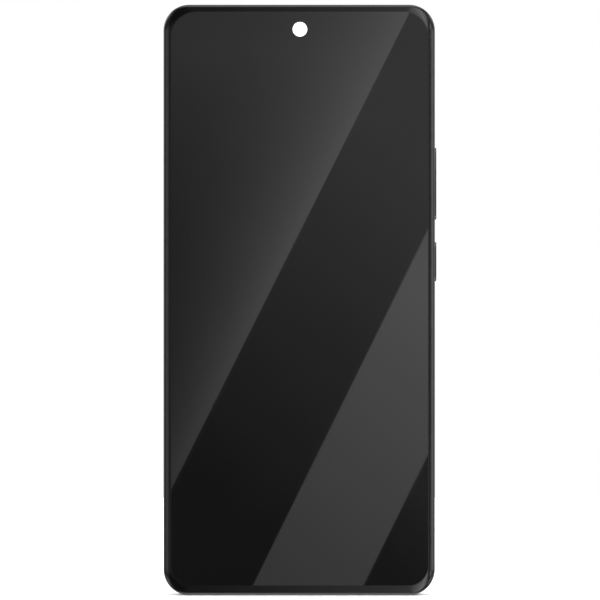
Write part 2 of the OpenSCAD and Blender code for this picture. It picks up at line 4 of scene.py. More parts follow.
import bmesh
import bpy
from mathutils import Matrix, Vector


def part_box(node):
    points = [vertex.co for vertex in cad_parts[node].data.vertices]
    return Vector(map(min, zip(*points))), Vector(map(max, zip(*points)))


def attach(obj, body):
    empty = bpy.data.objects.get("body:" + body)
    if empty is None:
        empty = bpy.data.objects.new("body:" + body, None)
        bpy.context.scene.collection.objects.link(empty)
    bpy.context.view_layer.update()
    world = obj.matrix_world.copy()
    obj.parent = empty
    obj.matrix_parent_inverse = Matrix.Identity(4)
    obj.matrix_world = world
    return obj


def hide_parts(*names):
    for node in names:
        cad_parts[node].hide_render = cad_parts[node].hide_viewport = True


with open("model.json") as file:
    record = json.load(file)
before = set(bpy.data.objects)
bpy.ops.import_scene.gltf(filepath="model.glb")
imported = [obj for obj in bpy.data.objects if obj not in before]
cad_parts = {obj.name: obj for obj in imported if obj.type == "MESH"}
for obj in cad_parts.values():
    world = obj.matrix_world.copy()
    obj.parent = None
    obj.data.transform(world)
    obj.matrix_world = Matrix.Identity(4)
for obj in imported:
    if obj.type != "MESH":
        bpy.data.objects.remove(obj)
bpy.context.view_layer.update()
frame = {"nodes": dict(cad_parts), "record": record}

MM = 0.001
ROOT = "phone"

# Places taken from the frame: the screen faces -Y, +Z is the top edge, +X is the key side
BODY_LOW, BODY_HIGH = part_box("side_frame")
GLASS_LOW, GLASS_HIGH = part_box("cover_glass")
FRONT_Y = GLASS_LOW[1]
MIDDLE_Z = (BODY_LOW[2] + BODY_HIGH[2]) / 2
GLASS_CORNER_R = 5.0 * MM


def box_centre(node):
    """Middle of a CAD node's box."""
    low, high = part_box(node)
    return [(a + b) / 2 for a, b in zip(low, high)]


# ---------------------------------------------------------------- camera

VIEW_HEIGHT = 165.17 * MM      # what the square picture takes in at the frame's widest section
WIDEST_DEPTH = 1.4 * MM        # how far that section lies behind the frame's front
CAMERA_SIDE, CAMERA_DROP = 0.22 * MM, 0.03 * MM
LENS = 200.0                   # mm, on a 36 mm sensor
SENSOR = 36.0


def make_camera():
    """Long lens, straight in front of the screen."""
    data = bpy.data.cameras.new("camera")
    data.lens = LENS
    data.sensor_width = SENSOR
    data.clip_start = 0.01
    data.clip_end = 50
    camera = bpy.data.objects.new("camera", data)
    distance = VIEW_HEIGHT * LENS / SENSOR
    camera.location = (CAMERA_SIDE, BODY_LOW[1] + WIDEST_DEPTH - distance, MIDDLE_Z - CAMERA_DROP)
    camera.rotation_euler = (math.radians(90), 0, 0)
    bpy.context.scene.collection.objects.link(camera)
    bpy.context.scene.camera = camera
    return camera


camera = make_camera()

# ---------------------------------------------------------------- node helpers


class Tree:
    """Short calls for building a node tree."""

    def __init__(self, tree):
        self.tree = tree
        tree.nodes.clear()

    def node(self, kind, inputs=None, **settings):
        made = self.tree.nodes.new(kind)
        for key, value in settings.items():
            setattr(made, key, value)
        for key, value in (inputs or {}).items():
            self.feed(made.inputs[key], value)
        return made

    def feed(self, socket, value):
        """Links a socket or sets a plain value."""
        if isinstance(value, bpy.types.NodeSocket):
            self.tree.links.new(value, socket)
        elif socket.type == "RGBA" and len(value) == 3:
            socket.default_value = (*value, 1)
        else:
            socket.default_value = value

    def math(self, operation, a, b=0.0):
        return self.node("ShaderNodeMath", {0: a, 1: b}, operation=operation).outputs[0]

    def place(self):
        """The shaded point in its object's own frame, in metres."""
        return self.node("ShaderNodeTexCoord").outputs["Object"]

    def noise(self, coords, scale, detail=3.0, stretch=(1, 1, 1)):
        placed = self.node("ShaderNodeMapping", {"Vector": coords, "Scale": stretch}).outputs[0]
        made = self.node("ShaderNodeTexNoise", {"Vector": placed, "Scale": scale, "Detail": detail})
        return made.outputs[0]

    def curve(self, value, stops):
        """Straight pieces between stops of (value, result), flat before the first and after the last."""
        result = stops[0][1]
        for (v0, r0), (v1, r1) in zip(stops, stops[1:]):
            step = self.node("ShaderNodeMapRange", {"Value": value, "From Min": v0, "From Max": v1,
                                                    "To Min": 0.0, "To Max": r1 - r0}).outputs[0]
            result = self.math("ADD", step, result)
        return result

    def spread(self, value, low, high):
        """Spreads a noise's usual range from low to high."""
        return self.curve(value, ((0.3, low), (0.7, high)))

    def mix(self, factor, a, b):
        """a where the factor is 0 and b where it is 1, for numbers."""
        made = self.node("ShaderNodeMix", data_type="FLOAT")
        for key, value in ((0, factor), (2, a), (3, b)):
            self.feed(made.inputs[key], value)
        return made.outputs[0]

    def blend(self, factor, a, b):
        """a where the factor is 0 and b where it is 1, for colours."""
        made = self.node("ShaderNodeMix", data_type="RGBA")
        for key, value in ((0, factor), (6, a), (7, b)):
            self.feed(made.inputs[key], value)
        return made.outputs[2]


def surface(name, dark, light, rough, grain=900, stretch=(1, 1, 1), bump=0.0, bump_grain=None,
            pattern=None, **sockets):
    """Principled material: colour and roughness drift with one noise, and a finer one gives the bump.

    dark and light are the colour's two ends, rough its two roughness ends, grain and bump_grain are
    noise scales in 1/m, bump is the depth in mm, and sockets are set directly on the shader.
    pattern(tree, coords) gives 0 to 1 marks, which darken the colour and sink into the surface.
    """
    made = bpy.data.materials.new(name)
    made.use_nodes = True
    t = Tree(made.node_tree)
    coords = t.place()
    drift = t.noise(coords, grain, 4.0, stretch)
    colour = t.blend(t.spread(drift, 0, 1), dark, light)
    height = t.noise(coords, bump_grain or grain * 4, 2.0, stretch)
    if pattern:
        marks = pattern(t, coords)
        colour = t.blend(t.math("MULTIPLY", marks, 0.75), colour, (0, 0, 0))
        height = t.math("SUBTRACT", height, t.math("MULTIPLY", marks, 3.0))
    shader = t.node("ShaderNodeBsdfPrincipled", {
        "Base Color": colour,
        "Roughness": t.spread(drift, *rough),
    })
    for key, value in sockets.items():
        t.feed(shader.inputs[key.replace("_", " ")], value)
    if bump:
        raised = t.node("ShaderNodeBump", {"Height": height, "Distance": bump * MM, "Strength": 1.0})
        t.tree.links.new(raised.outputs[0], shader.inputs["Normal"])
    out = t.node("ShaderNodeOutputMaterial")
    t.tree.links.new(shader.outputs[0], out.inputs["Surface"])
    return made


# ---------------------------------------------------------------- patterns


def weave(pitch):
    """Round openings between woven threads, pitch mm apart."""
    def marks(t, coords):
        axes = t.node("ShaderNodeSeparateXYZ", {0: coords})
        lines = []
        for axis in (0, 2):
            turn = t.math("MULTIPLY", axes.outputs[axis], 2 * math.pi / (pitch * MM))
            lines.append(t.math("SINE", turn))
        return t.curve(t.math("MULTIPLY", *lines), ((0.05, 0.0), (0.3, 1.0)))
    return marks


def traces(t, coords):
    """Thin lines round irregular fields, as copper under solder mask."""
    cells = t.node("ShaderNodeTexVoronoi", {"Vector": coords, "Scale": 700.0},
                   feature="DISTANCE_TO_EDGE", distance="MANHATTAN")
    return t.curve(cells.outputs["Distance"], ((0.03, 1.0), (0.06, 0.0)))


def wraps(pitch):
    """Fine parallel lines along Z, as wound wire or a ribbon's tracks."""
    def marks(t, coords):
        axes = t.node("ShaderNodeSeparateXYZ", {0: coords})
        turn = t.math("MULTIPLY", axes.outputs[0], 2 * math.pi / (pitch * MM))
        return t.curve(t.math("SINE", turn), ((0.6, 0.0), (0.9, 1.0)))
    return marks


PAINTED_SHADE_REACH = 0.06 * MM         # how far the painted shade inside the pocket reaches past the glass
PAINTED_SHADE_DEPTH = 1.5 * MM        # and how far behind its back


def pocket_painted_shade(t, coords):
    """Painted shade: darkens the frame inside the pocket that the glass sits in, standing in for the
    shade in the gap round the glass.
    """
    x, y, z = t.node("ShaderNodeSeparateXYZ", {0: coords}).outputs
    past = []
    for place, low, high in ((x, GLASS_LOW[0], GLASS_HIGH[0]), (z, GLASS_LOW[2], GLASS_HIGH[2])):
        off = t.math("ABSOLUTE", t.math("SUBTRACT", place, (low + high) / 2))
        over = t.math("MAXIMUM", t.math("SUBTRACT", off, (high - low) / 2 - GLASS_CORNER_R), 0.0)
        past.append(t.math("MULTIPLY", over, over))
    inside = t.math("LESS_THAN", t.math("ADD", *past), (GLASS_CORNER_R + PAINTED_SHADE_REACH) ** 2)
    return t.math("MULTIPLY", inside, t.math("LESS_THAN", y, GLASS_HIGH[1] + PAINTED_SHADE_DEPTH))


# ---------------------------------------------------------------- materials

FINISHES = {
    "cover_glass": surface(
        "black_glass", (0.0013, 0.0013, 0.0015), (0.0018, 0.0018, 0.002), (0.008, 0.014),
        grain=60, IOR=1.5),
    "display_black": surface(
        "display_black", (0.004, 0.004, 0.006), (0.008, 0.008, 0.011), (0.10, 0.18), grain=300,
        pattern=weave(0.12)),
    "clear_adhesive": surface(
        "clear_adhesive", (0.70, 0.73, 0.75), (0.78, 0.80, 0.81), (0.15, 0.25), grain=200,
        bump=0.004, bump_grain=900, Alpha=0.4),
    "copper_foil": surface(
        "copper_foil", (0.50, 0.26, 0.15), (0.60, 0.34, 0.21), (0.25, 0.42), grain=160,
        bump=0.01, bump_grain=400, Metallic=1.0),
    "flex": surface(
        "flex_film", (0.36, 0.15, 0.025), (0.46, 0.21, 0.045), (0.28, 0.4), grain=500,
        bump=0.004, bump_grain=3000, pattern=wraps(0.4)),
    "black_adhesive": surface(
        "black_foam", (0.002, 0.002, 0.002), (0.005, 0.005, 0.005), (0.75, 0.95), grain=3000,
        bump=0.006, bump_grain=9000, Specular_IOR_Level=0.15),
    "white_film": surface(
        "white_film", (0.93, 0.93, 0.93), (0.96, 0.96, 0.96), (0.5, 0.6), grain=1500,
        bump=0.001, bump_grain=4000),
    "sensor_black": surface(
        "sensor_black", (0.022, 0.026, 0.036), (0.036, 0.042, 0.052), (0.08, 0.16), grain=800,
        bump=0.002, bump_grain=5000, Coat_Weight=0.5),
    "frame": surface(
        "frame_coat", (0.118, 0.118, 0.121), (0.138, 0.138, 0.141), (0.09, 0.13), grain=500,
        # the pocket pattern is painted shade: it darkens the frame round the glass, where the gap is in
        # shade
        bump=0.0012, bump_grain=9000, pattern=pocket_painted_shade, Metallic=1.0),
    "magnesium": surface(
        "cast_magnesium", (0.26, 0.27, 0.29), (0.38, 0.39, 0.41), (0.4, 0.6), grain=700,
        bump=0.012, bump_grain=2500, Metallic=1.0),
    "key": surface(
        "key_coat", (0.125, 0.125, 0.128), (0.150, 0.150, 0.153), (0.09, 0.13), grain=500,
        bump=0.0010, bump_grain=9000, Metallic=1.0),
    "steel": surface(
        "brushed_steel", (0.48, 0.49, 0.51), (0.62, 0.63, 0.65), (0.22, 0.38), grain=1200,
        stretch=(1, 1, 0.08), bump=0.002, bump_grain=6000, Metallic=1.0),
    "tray": surface(
        "tray_coat", (0.118, 0.118, 0.121), (0.138, 0.138, 0.141), (0.09, 0.13), grain=500,
        bump=0.0012, bump_grain=9000, Metallic=1.0),
    "red_rubber": surface(
        "red_rubber", (0.28, 0.035, 0.028), (0.38, 0.06, 0.05), (0.5, 0.65), grain=1500,
        bump=0.006, bump_grain=5000),
    "board_green": surface(
        "solder_mask", (0.014, 0.10, 0.05), (0.024, 0.15, 0.08), (0.25, 0.4), grain=250,
        bump=0.006, bump_grain=3000, pattern=traces),
    "chip_black": surface(
        "moulded_chip", (0.014, 0.014, 0.016), (0.026, 0.026, 0.028), (0.5, 0.65), grain=1800,
        bump=0.006, bump_grain=9000),
    "shield": surface(
        "tinned_shield", (0.52, 0.53, 0.55), (0.66, 0.67, 0.69), (0.25, 0.42), grain=600,
        stretch=(0.15, 1, 1), bump=0.003, bump_grain=4000, Metallic=1.0),
    "camera_black": surface(
        "camera_black", (0.004, 0.004, 0.005), (0.008, 0.008, 0.009), (0.32, 0.45), grain=2500,
        bump=0.003, bump_grain=9000),
    "lens_glass": surface(
        "coated_glass", (0.006, 0.009, 0.022), (0.012, 0.012, 0.032), (0.01, 0.03), grain=300,
        IOR=1.6, Specular_Tint=(0.55, 0.6, 1.0), Coat_Weight=0.6),
    "gold": surface(
        "plated_gold", (0.60, 0.43, 0.17), (0.70, 0.53, 0.24), (0.2, 0.32), grain=2000,
        bump=0.001, bump_grain=9000, Metallic=1.0),
    "battery_foil": surface(
        "battery_wrap", (0.022, 0.022, 0.026), (0.036, 0.036, 0.040), (0.35, 0.5), grain=120,
        bump=0.02, bump_grain=300, Metallic=0.4),
    "white_adhesive": surface(
        "white_adhesive", (0.72, 0.72, 0.70), (0.80, 0.80, 0.78), (0.5, 0.7), grain=900,
        bump=0.01, bump_grain=3000),
    "cable": surface(
        "cable_jacket", (0.07, 0.07, 0.078), (0.11, 0.11, 0.12), (0.35, 0.5), grain=1500,
        bump=0.003, bump_grain=7000),
    "black_plastic": surface(
        "moulded_plastic", (0.018, 0.019, 0.022), (0.028, 0.029, 0.033), (0.45, 0.6), grain=1500,
        bump=0.008, bump_grain=7000),
    "diaphragm": surface(
        "diaphragm", (0.06, 0.06, 0.068), (0.10, 0.10, 0.11), (0.35, 0.5), grain=900,
        bump=0.004, bump_grain=4000),
    "copper": surface(
        "bare_copper", (0.52, 0.22, 0.09), (0.64, 0.31, 0.14), (0.25, 0.4), grain=1400,
        bump=0.003, bump_grain=6000, Metallic=1.0, pattern=wraps(0.5)),
    "rear_cover": surface(
        "rear_satin", (0.0115, 0.012, 0.014), (0.0145, 0.015, 0.0175), (0.24, 0.28), grain=700,
        bump=0.0008, bump_grain=9000, Coat_Weight=0.25, Coat_Roughness=0.12),
    "island": surface(
        "island_coat", (0.018, 0.019, 0.021), (0.024, 0.025, 0.028), (0.22, 0.3), grain=400,
        bump=0.001, bump_grain=9000, Metallic=0.6),
    "ring": surface(
        "turned_ring", (0.28, 0.29, 0.31), (0.33, 0.34, 0.36), (0.18, 0.24), grain=4000,
        bump=0.0008, bump_grain=9000, Metallic=1.0),
    "tungsten": surface(
        "sintered_tungsten", (0.24, 0.24, 0.25), (0.34, 0.34, 0.35), (0.4, 0.6), grain=2500,
        bump=0.006, bump_grain=8000, Metallic=1.0),
    "flash_lens": surface(
        "flash_lens", (0.30, 0.26, 0.12), (0.42, 0.38, 0.22), (0.12, 0.22), grain=700,
        bump=0.002, bump_grain=4000, Coat_Weight=0.6),
}
CLEAR_GLASS = surface(
    "window_glass", (0.93, 0.95, 0.97), (0.97, 0.98, 1.0), (0.0, 0.012), grain=200,
    IOR=1.5, Transmission_Weight=1.0, Specular_Tint=(0.8, 0.85, 1.0))

SLOT_OF = {part["node"]: part["material_slot"] for part in frame["record"]["subparts"]}
for node, cad in frame["nodes"].items():
    cad.data.materials.clear()
    cad.data.materials.append(FINISHES[SLOT_OF[node]])

# ---------------------------------------------------------------- mesh helpers


def mesh_object(name, bm, material, crease=35):
    """Makes an object from a bmesh: smooth, but sharp where faces meet at more than crease degrees."""
    bmesh.ops.recalc_face_normals(bm, faces=bm.faces)
    data = bpy.data.meshes.new(name)
    bm.to_mesh(data)
    bm.free()
    data.materials.append(material)
    data.shade_smooth()
    data.set_sharp_from_angle(angle=math.radians(crease))
    made = bpy.data.objects.new(name, data)
    bpy.context.scene.collection.objects.link(made)
    return made


def add_piece(name, bm, slot, body=ROOT, nodes=(), material=None, crease=35):
    """A piece of the phone that rides on a body, with its slot's finish; the CAD nodes that it stands
    for are hidden.
    """
    made = mesh_object(name, bm, material or FINISHES[slot], crease)
    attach(made, body)
    if nodes:
        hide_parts(*nodes)
    return made


def ring_of(bm, points):
    return [bm.verts.new(p) for p in points]


def bridge(bm, a, b):
    """Faces between two closed rings, either of which may be a single point."""
    count = max(len(a), len(b))
    for i in range(count):
        j = (i + 1) % count
        if len(a) == 1:
            bm.faces.new((a[0], b[j], b[i]))
        elif len(b) == 1:
            bm.faces.new((a[i], a[j], b[0]))
        else:
            bm.faces.new((a[i], a[j], b[j], b[i]))


def lathe(bm, profile, x, z, segments=128, closed=False):
    """Turns a profile of (radius, y), all in mm, about the line along Y through x, z in metres."""
    rings = []
    for r, y in profile:
        if r == 0:
            rings.append(ring_of(bm, [(x, y * MM, z)]))
        else:
            turns = [2 * math.pi * i / segments for i in range(segments)]
            rings.append(ring_of(bm, [(x + r * MM * math.cos(a), y * MM, z + r * MM * math.sin(a))
                                      for a in turns]))
    if closed:
        rings.append(rings[0])
    for a, b in zip(rings, rings[1:]):
        bridge(bm, a, b)


def soft_box(bm, low, high, round_mm, segments=3):
    """Box between two corners in metres, with all its edges rounded."""
    made = bmesh.ops.create_cube(bm, size=1)["verts"]
    for v in made:
        v.co = [a + (b - a) * (c + 0.5) for a, b, c in zip(low, high, v.co)]
    edges = list({e for v in made for e in v.link_edges})
    bmesh.ops.bevel(bm, geom=edges, offset=round_mm * MM, segments=segments, profile=0.5,
                    affect="EDGES")


def rounded_loop(x0, x1, z0, z1, low_radius, high_radius, per_corner=24):
    """[x, z] points round a rectangle with round corners, anticlockwise from the lower right."""
    points = []
    corners = ((x1, z0, low_radius, -90), (x1, z1, high_radius, 0),
               (x0, z1, high_radius, 90), (x0, z0, low_radius, 180))
    for x, z, radius, start in corners:
        cx = x - radius if x == x1 else x + radius
        cz = z + radius if z == z0 else z - radius
        for i in range(per_corner + 1):
            angle = math.radians(start + 90 * i / per_corner)
            points.append((cx + radius * math.cos(angle), cz + radius * math.sin(angle)))
    return points


def pill_loop(length, thick, inset, per_end=20):
    """(y, z) points round a pill outline that lies along Z, moved inwards by inset; all in metres."""
    radius = thick / 2 - inset
    half_run = (length - thick) / 2
    points = []
    for end, start in ((1, 0), (-1, 180)):
        for i in range(per_end + 1):
            angle = math.radians(start + 180 * i / per_end)
            points.append((radius * math.cos(angle), end * half_run + radius * math.sin(angle)))
    return points


# ---------------------------------------------------------------- cover glass

# Where the glass starts to curve, inward from the body's outline
CURVE_LEFT, CURVE_RIGHT, CURVE_LOW, CURVE_HIGH = 2.15 * MM, 1.95 * MM, 2.78 * MM, 2.05 * MM
FLAT_LOW_R, FLAT_HIGH_R = 5.4 * MM, 7.0 * MM
KEY_SIDE_GAP = 0.12 * MM       # how much wider the dark gap round the glass is on the key side
EDGE_DROP = 0.22 * MM          # how far the long curve falls
LIP_DROP = 0.10 * MM           # the last rounding, at the rim
LIP_START = 0.93


def glass_drop(t):
    """Fall of the glass from its flat front, t = 0 at the flat's edge and 1 at the rim."""
    lip = max(0.0, (t - LIP_START) / (1 - LIP_START))
    return EDGE_DROP * (0.35 * t + 0.65 * t * t) + LIP_DROP * (1 - math.sqrt(max(0.0, 1 - lip * lip)))


def make_cover_glass():
    steps = 28
    flat = rounded_loop(BODY_LOW[0] + CURVE_LEFT, BODY_HIGH[0] - CURVE_RIGHT,
                        BODY_LOW[2] + CURVE_LOW, BODY_HIGH[2] - CURVE_HIGH, FLAT_LOW_R, FLAT_HIGH_R)
    rim = rounded_loop(GLASS_LOW[0], GLASS_HIGH[0] - KEY_SIDE_GAP, GLASS_LOW[2], GLASS_HIGH[2],
                       GLASS_CORNER_R, GLASS_CORNER_R)
    bm = bmesh.new()
    rings = []
    for k in range(steps + 1):
        t = math.sin(math.pi / 2 * k / steps)
        y = FRONT_Y + glass_drop(t)
        rings.append(ring_of(bm, [(fx + (rx - fx) * t, y, fz + (rz - fz) * t)
                                  for (fx, fz), (rx, rz) in zip(flat, rim)]))
    rings.append(ring_of(bm, [(x, GLASS_HIGH[1], z) for x, z in rim]))
    for a, b in zip(rings, rings[1:]):
        bridge(bm, a, b)
    bm.faces.new(rings[0])
    bm.faces.new(list(reversed(rings[-1])))
    made = add_piece("cover_glass_curved", bm, "cover_glass", nodes=["cover_glass"], crease=40)
    for face in made.data.polygons:
        if len(face.vertices) > 4:
            face.use_smooth = False


make_cover_glass()

# ---------------------------------------------------------------- front camera film


def make_film():
    """Thin white disc with a soft rim over the camera window."""
    low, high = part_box("front_camera_film")
    x, _, z = box_centre("front_camera_film")
    radius = (high[0] - low[0]) / 2 / MM
    front, back = low[1] / MM, high[1] / MM
    profile = [(0, front), (radius - 0.05, front)]
    for k in range(1, 7):
        angle = math.pi / 2 * k / 6
        profile.append((radius - 0.05 + 0.05 * math.sin(angle), front + 0.05 * (1 - math.cos(angle))))
    profile += [(radius, back), (0, back)]
    bm = bmesh.new()
    lathe(bm, profile, x, z, 96)
    add_piece("camera_film_disc", bm, "white_film", nodes=["front_camera_film"])


make_film()

# ---------------------------------------------------------------- keys

KEY_RIM = 0.24 * MM            # rounding between a key's face and its sides
KEY_CROWN = 0.05 * MM          # how much the face bulges along its middle
KEY_THICK = 2.0 * MM
FLANGE_THICK = 0.45 * MM


def make_key(node, nubs):
    """Pill-shaped cap with a soft rim, its flange behind the wall, and nubs that meet the switches."""
    low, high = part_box(node)
    _, y, z = box_centre(node)
    length = high[2] - low[2] - 1.8 * MM
    flange_x = low[0] + NUB_LENGTH[node]
    bm = bmesh.new()
    levels = [(flange_x + FLANGE_THICK * 0.5, 0.0), (high[0] - KEY_CROWN - KEY_RIM, 0.0)]
    for k in range(1, 9):
        angle = math.pi / 2 * k / 8
        levels.append((high[0] - KEY_CROWN - KEY_RIM * (1 - math.sin(angle)),
                       KEY_RIM * (1 - math.cos(angle))))
    for k in range(1, 7):
        part = k / 7
        levels.append((high[0] - KEY_CROWN * (1 - part) ** 2,
                       KEY_RIM + (KEY_THICK / 2 - KEY_RIM) * part))
    rings = [ring_of(bm, [(x, y + dy, z + dz) for dy, dz in pill_loop(length, KEY_THICK, inset)])
             for x, inset in levels]
    for a, b in zip(rings, rings[1:]):
        bridge(bm, a, b)
    bm.faces.new(rings[0])
    bm.faces.new(rings[-1])
    soft_box(bm, (flange_x, low[1], low[2]), (flange_x + FLANGE_THICK, high[1], high[2]), 0.1)
    for nub in nubs:
        soft_box(bm, (low[0], y - 0.55 * MM, z + (nub - 0.55) * MM),
                 (flange_x + 0.1 * MM, y + 0.55 * MM, z + (nub + 0.55) * MM), 0.12)
    add_piece(node + "_cap", bm, "key", body=node, nodes=[node])


NUB_LENGTH = {"volume_key": 0.27 * MM, "power_key": 0.52 * MM}
make_key("volume_key", (-6.5, 6.5))
make_key("power_key", (0,))

# ---------------------------------------------------------------- rear cameras

ISLAND_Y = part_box("camera_island")[1][1] / MM
RING_LOW, RING_TOP = (corner[1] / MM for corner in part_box("lens_rings"))
WINDOW_LOW, WINDOW_TOP = (corner[1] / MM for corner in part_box("lens_windows"))
MAIN, WIDE, MACRO, FLASH = (box_centre(node)[0::2] for node in (
    "main_camera_barrel", "wide_camera", "macro_camera", "flash"))


def ring_profile(outer, sleeve, inner):
    """Closed section of a lens ring: chamfered flange with turned grooves, and its sleeve."""
    edge = 0.09
    profile = [(sleeve, ISLAND_Y), (outer, ISLAND_Y), (outer, RING_TOP - edge - 0.02)]
    for k in range(1, 6):
        angle = math.pi / 2 * k / 5
        profile.append((outer - edge * (1 - math.cos(angle)), RING_TOP - edge * (1 - math.sin(angle))))
    grooves = int((outer - inner - 0.45) / 0.1)
    for k in range(grooves):
        r = outer - edge - 0.08 - 0.1 * k
        profile += [(r, RING_TOP), (r - 0.03, RING_TOP - 0.014), (r - 0.06, RING_TOP)]
    for k in range(6):
        angle = math.pi / 2 * k / 5
        profile.append((inner + 0.14 * (1 - math.sin(angle)), RING_TOP - 0.14 * (1 - math.cos(angle))))
    profile += [(inner, RING_LOW), (sleeve, RING_LOW)]
    return profile


def make_rings():
    """Turned rings on the camera island."""
    bm = bmesh.new()
    for place, radii in ((MAIN, (6.6, 5.78, 5.2)), (WIDE, (6.6, 5.78, 5.2)), (MACRO, (4.2, 3.46, 3.0))):
        lathe(bm, ring_profile(*radii), *place, segments=160, closed=True)
    add_piece("turned_rings", bm, "ring", nodes=["lens_rings"], crease=25)


def make_windows():
    """Clear windows with chamfered edges, and the black print behind them."""
    bm = bmesh.new()
    print_bm = bmesh.new()
    for place, radius, opening in ((MAIN, 5.18, 3.9), (WIDE, 5.18, 3.6), (MACRO, 2.98, 2.3)):
        lathe(bm, [(0, WINDOW_TOP), (radius - 0.12, WINDOW_TOP), (radius - 0.03, WINDOW_TOP - 0.04),
                   (radius, WINDOW_TOP - 0.12), (radius, WINDOW_LOW), (0, WINDOW_LOW)], *place)
        rim = min(radius - 0.35, opening + 1.0)
        lathe(print_bm, [(opening, WINDOW_LOW - 0.02), (rim, WINDOW_LOW - 0.02),
                         (rim, WINDOW_LOW - 0.05), (opening, WINDOW_LOW - 0.05)], *place, closed=True)
    add_piece("clear_windows", bm, "lens_glass", nodes=["lens_windows"], material=CLEAR_GLASS)
    add_piece("window_print", print_bm, "camera_black")


def barrel_profile(radius, front, back):
    """Section of a lens barrel: soft lip, threaded cone and the floor that the lenses stand on."""
    s = radius / 4.3
    profile = [(0, back), (radius - 0.1, back), (radius, back + 0.1), (radius, front - 0.12),
               (radius - 0.04, front - 0.04), (radius - 0.12, front), (3.75 * s, front),
               (3.68 * s, front - 0.02), (3.62 * s, front - 0.1)]
    for k in range(5):
        r, y = (3.5 - 0.13 * k) * s, front - 0.18 - 0.07 * k
        profile += [(r, y), (r - 0.04 * s, y - 0.05)]
    return profile + [(2.86 * s, front - 0.60), (2.86 * s, front - 0.78), (1.6 * s, front - 0.86),
                      (1.5 * s, front - 1.0), (0, front - 1.0)]


def dome(radius, apex, rise, back):
    """Section of a lens: domed front of that rise, short straight rim and flat back."""
    sphere = (radius ** 2 + rise ** 2) / (2 * rise)
    profile = [(0, apex)]
    for k in range(1, 13):
        r = radius * k / 12
        profile.append((r, apex - sphere + math.sqrt(sphere ** 2 - r ** 2)))
    return profile + [(radius, back), (0, back)]


def make_lens_stack(name, place, radius, front, back, body, nodes, housing=None):
    """Barrel with a domed front lens and a darker one behind it."""
    s = radius / 4.3
    bm = bmesh.new()
    lathe(bm, barrel_profile(radius, front, back), *place)
    if housing:
        soft_box(bm, *housing, 0.25)
    add_piece(name + "_barrel_turned", bm, "camera_black", body=body, nodes=nodes, crease=28)
    bm = bmesh.new()
    lathe(bm, dome(1.45 * s, front - 0.66, 0.18 * s, front - 0.96), *place)
    add_piece(name + "_inner_lens", bm, "lens_glass", body=body)
    bm = bmesh.new()
    lathe(bm, dome(2.84 * s, front - 0.08, 0.42 * s, front - 0.62), *place)
    add_piece(name + "_front_lens", bm, "lens_glass", body=body, material=CLEAR_GLASS)


def make_rear_lenses():
    """The three lens stacks; the wide and macro ones include their square housings."""
    low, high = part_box("main_camera_barrel")
    make_lens_stack("main_camera", MAIN, (high[0] - low[0]) / 2 / MM, high[1] / MM, low[1] / MM,
                    "lens_barrel", ["main_camera_barrel", "main_camera_lens"])
    for name, place, radius in (("wide_camera", WIDE, 3.8), ("macro_camera", MACRO, 2.3)):
        low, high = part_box(name)
        seat = high[1] - 2.0 * MM
        make_lens_stack(name, place, radius, high[1] / MM, seat / MM - 0.1, ROOT, [name],
                        ((low[0], low[1], low[2]), (high[0], seat, high[2])))


def make_flash():
    """Flash lens with ridges round its middle, on its small base."""
    low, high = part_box("flash")
    top = high[1] / MM
    profile = [(0, top - 0.03)]
    for k in range(9):
        r = 0.2 + 0.17 * k
        profile += [(r, top - 0.10), (r + 0.02, top - 0.02)]
    profile += [(1.75, top - 0.02), (1.80, top), (1.90, top - 0.01), (1.95, top - 0.06),
                (1.95, low[1] / MM + 0.9), (0, low[1] / MM + 0.9)]
    bm = bmesh.new()
    lathe(bm, profile, *FLASH, segments=96)
    soft_box(bm, low, (high[0], low[1] + 1.0 * MM, high[2]), 0.08)
    add_piece("flash_ridged", bm, "flash_lens", nodes=["flash"], crease=25)


make_rings()
make_windows()
make_rear_lenses()
make_flash()

# ---------------------------------------------------------------- USB contacts


def make_usb_contacts():
    """Twelve gold strips on each side of the tongue."""
    low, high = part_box("usb_tongue")
    bm = bmesh.new()
    for k in range(12):
        x = (low[0] + high[0]) / 2 + (k - 5.5) * 0.5 * MM
        for y0, y1 in ((low[1] - 0.02 * MM, low[1] + 0.05 * MM),
                       (high[1] - 0.05 * MM, high[1] + 0.02 * MM)):
            soft_box(bm, (x - 0.13 * MM, y0, low[2] + 0.35 * MM), (x + 0.13 * MM, y1, low[2] + 3.2 * MM),
                     0.015, 2)
    add_piece("usb_contacts", bm, "gold")


make_usb_contacts()

# ---------------------------------------------------------------- studio

WALL_Y = -2.2                  # the reflector wall stands behind the camera
SCREEN_DIFFUSE = 0.0034        # what the black glass sends back without any mirror image
MIRROR = 0.04                  # share of light that glass mirrors straight back
WALL_SPREAD = 1 + (FRONT_Y - WALL_Y) / (FRONT_Y - camera.location.y)


def radiance(tone):
    """Light a reflector needs for its mirror image in the screen to reach an 8-bit display tone."""
    level = tone / 255
    linear = level / 12.92 if level < 0.04045 else ((level + 0.055) / 1.055) ** 2.4
    return max(0.0, (linear - SCREEN_DIFFUSE) / MIRROR)


def tones(stops):
    return [(value, radiance(tone)) for value, tone in stops]


# Edges in the mirror image, in mm on the screen: x at z = 0, and slope
LINE_A = (-49.8, 0.5)
LINE_B = (-14.1, 0.492)
LINE_C = (16.3, 0.493)
WALL_X, WALL_LOW, WALL_HIGH = 60, -30, 175
DIAGONAL_TOP = 163.95          # the wall's light falls off along a diagonal from this place:
SLANT = 0.83                   # DIAGONAL_TOP - z - SLANT * x, in mm on the screen
BAND_ENDS = {                  # where the fall starts and ends: (mm down the diagonal, screen tone)
    "wall_middle": ((17, 51), (155, 21)),
    "wall_band": ((50, 76.5), (162, 53)),
    "wall_right": ((108, 33), (137, 23)),
}
BAND_STEPS = 8


